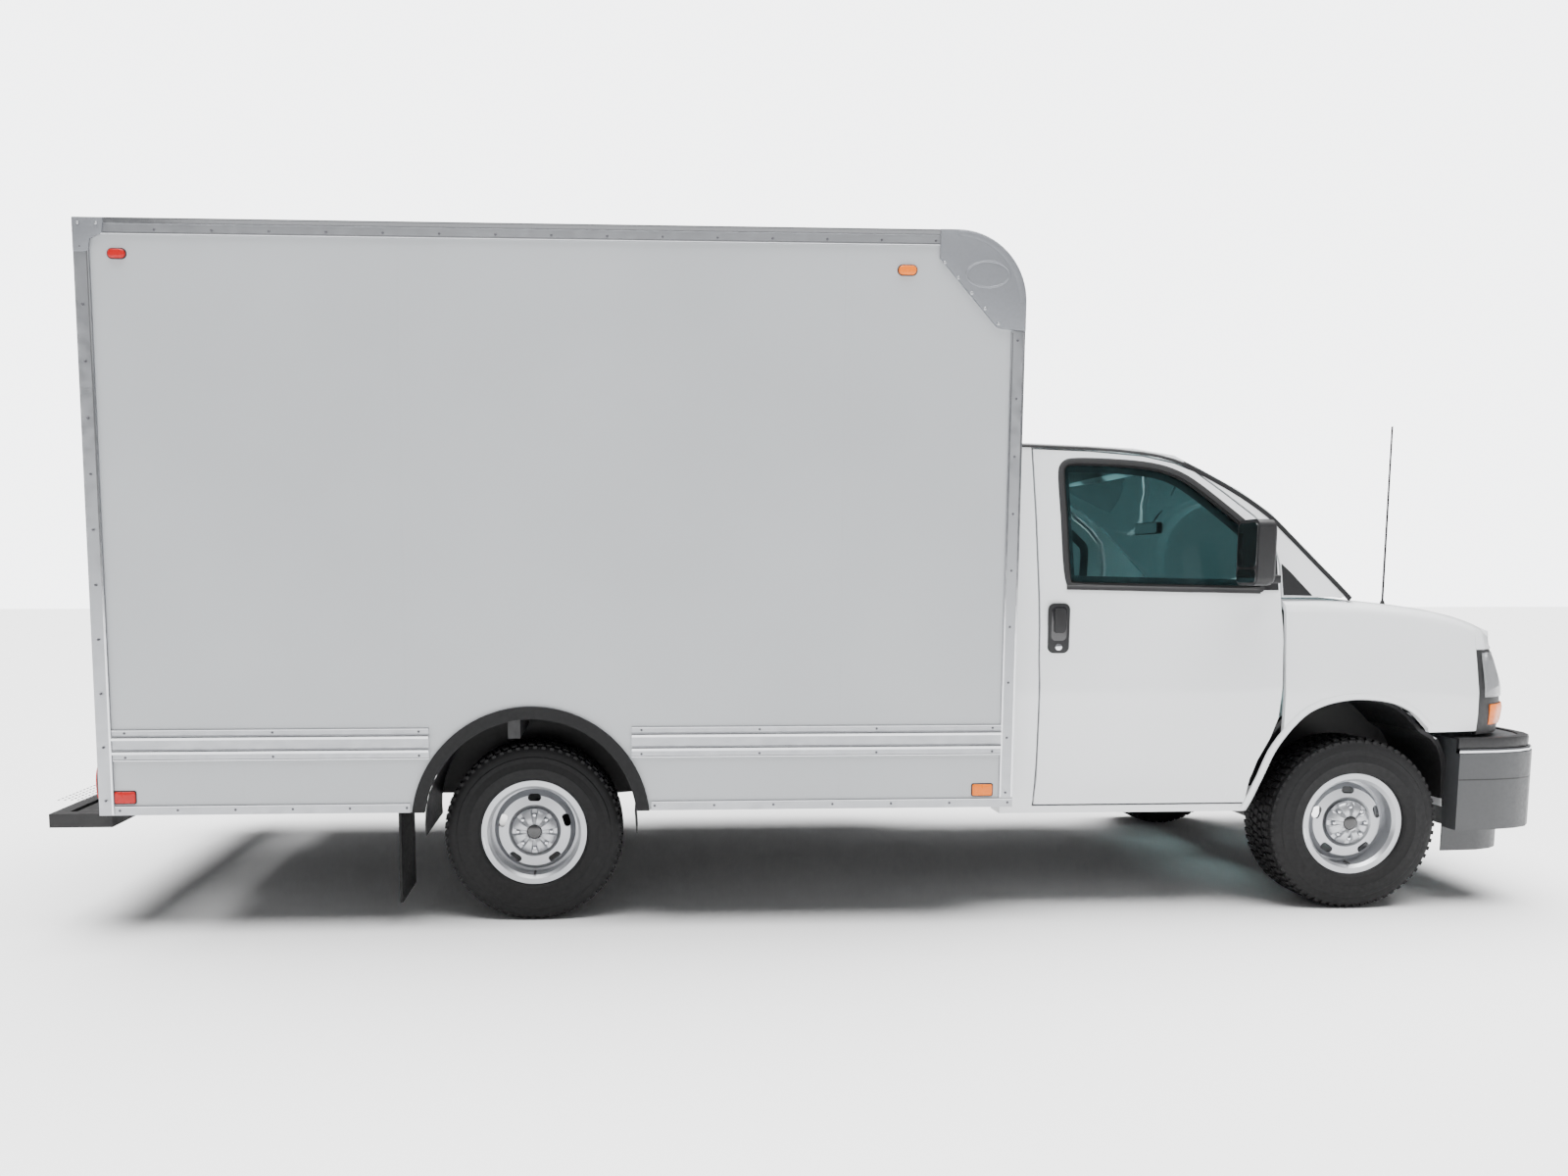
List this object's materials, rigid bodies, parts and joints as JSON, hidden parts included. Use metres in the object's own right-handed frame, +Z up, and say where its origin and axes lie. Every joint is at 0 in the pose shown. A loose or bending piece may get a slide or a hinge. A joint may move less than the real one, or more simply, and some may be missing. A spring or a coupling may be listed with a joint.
{
  "type": "box truck",
  "caption": "Light box truck with a sloping van-style cab, riveted cargo box, steered front wheels, opening cab doors, hood and rear cargo doors.",
  "frame": {"origin": "on the ground under the centre of the vehicle's overall box", "axes": "+X towards the front bumper, +Y to the driver's left, +Z up; the tyres stand on Z = 0"},
  "size_m": [6.42, 2.4, 2.803],
  "materials": {
    "white_paint": "gloss white",
    "black_paint": "satin black",
    "grey_steel": "plain",
    "wheel_silver": "satin silver",
    "tyre": "plain",
    "tinted_glass": "clear",
    "clear_plastic": "clear",
    "black_plastic": "grained",
    "seat_fabric": "woven",
    "deck_wood": "plain",
    "bare_aluminium": "satin",
    "black_rubber": "plain"
  },
  "bodies": {
    "chassis": {"frame_rails": "black_paint", "front_suspension": "grey_steel", "rear_axle": "grey_steel", "engine_block": "grey_steel", "exhaust_system": "grey_steel", "fuel_tank": "black_paint", "cab_floor": "black_plastic", "cab_sides": "white_paint", "cab_roof": "white_paint", "windshield": "tinted_glass", "fenders": "white_paint", "front_fascia": "black_plastic", "lamps": "clear_plastic", "front_bumper": "black_plastic", "dashboard": "black_plastic", "seats": "seat_fabric", "cargo_floor": "deck_wood", "box_walls": "white_paint", "box_front_wall": "white_paint", "box_roof": "white_paint", "box_rails": "bare_aluminium", "rear_frame": "bare_aluminium", "rear_bumper": "black_paint", "arch_trims": "black_plastic", "mud_flaps": "black_rubber"},
    "knuckle_left": {"knuckle_left": "grey_steel"},
    "knuckle_right": {"knuckle_right": "grey_steel"},
    "wheel_front_left": {"tyre_front_left": "tyre", "rim_front_left": "wheel_silver"},
    "wheel_front_right": {"tyre_front_right": "tyre", "rim_front_right": "wheel_silver"},
    "wheel_rear_left": {"tyre_rear_left": "tyre", "rim_rear_left": "wheel_silver"},
    "wheel_rear_right": {"tyre_rear_right": "tyre", "rim_rear_right": "wheel_silver"},
    "steering_wheel": {"steering_wheel": "black_plastic"},
    "cab_door_left": {"door_left": "white_paint", "door_glass_left": "tinted_glass", "mirror_left": "black_plastic"},
    "cab_door_right": {"door_right": "white_paint", "door_glass_right": "tinted_glass", "mirror_right": "black_plastic"},
    "hood": {"hood": "white_paint"},
    "cargo_door_left": {"cargo_door_left": "white_paint"},
    "cargo_door_right": {"cargo_door_right": "white_paint"}
  },
  "joints": [
    {"name": "steer_right", "type": "hinge", "parent": "chassis", "child": "knuckle_right", "pos_m": [2.26, -0.785, 0.375], "axis": [0, 0, 1], "range_deg": [-32, 32]},
    {"name": "steer_left", "type": "hinge", "parent": "chassis", "child": "knuckle_left", "pos_m": [2.26, 0.785, 0.375], "axis": [0, 0, 1], "range_deg": [-32, 32]},
    {"name": "steering_wheel_turn", "type": "hinge", "parent": "chassis", "child": "steering_wheel", "pos_m": [1.7, 0.39, 1.17], "axis": [0.848, 0, -0.5299], "range_deg": [-512, 512]},
    {"name": "wheel_front_left_spin", "type": "hinge", "parent": "knuckle_left", "child": "wheel_front_left", "pos_m": [2.26, 0.865, 0.375], "axis": [0, 1, 0], "continuous": true},
    {"name": "wheel_front_right_spin", "type": "hinge", "parent": "knuckle_right", "child": "wheel_front_right", "pos_m": [2.26, -0.865, 0.375], "axis": [0, 1, 0], "continuous": true},
    {"name": "wheel_rear_left_spin", "type": "hinge", "parent": "chassis", "child": "wheel_rear_left", "pos_m": [-1.271, 0.865, 0.375], "axis": [0, 1, 0], "continuous": true},
    {"name": "wheel_rear_right_spin", "type": "hinge", "parent": "chassis", "child": "wheel_rear_right", "pos_m": [-1.271, -0.865, 0.375], "axis": [0, 1, 0], "continuous": true},
    {"name": "cab_door_left_hinge", "type": "hinge", "parent": "chassis", "child": "cab_door_left", "pos_m": [1.79, 0.974, 0.87], "axis": [0, -0.0523, 0.9986], "range_deg": [-65, 0]},
    {"name": "cab_door_right_hinge", "type": "hinge", "parent": "chassis", "child": "cab_door_right", "pos_m": [1.79, -0.974, 0.87], "axis": [0, 0.0523, 0.9986], "range_deg": [0, 65]},
    {"name": "hood_hinge", "type": "hinge", "parent": "chassis", "child": "hood", "pos_m": [2.475, 0, 1.3236], "axis": [0, 1, 0], "range_deg": [-48, 0]},
    {"name": "cargo_door_left_hinge", "type": "hinge", "parent": "chassis", "child": "cargo_door_left", "pos_m": [-2.995, 1.018, 1.8], "axis": [0, 0, 1], "range_deg": [-175, 0]},
    {"name": "cargo_door_right_hinge", "type": "hinge", "parent": "chassis", "child": "cargo_door_right", "pos_m": [-2.995, -1.018, 1.8], "axis": [0, 0, 1], "range_deg": [0, 175]}
  ],
  "couplings": [
    {"joint": "steer_left", "follows": "steer_right", "ratio": 1},
    {"joint": "steering_wheel_turn", "follows": "steer_right", "ratio": -16}
  ]
}
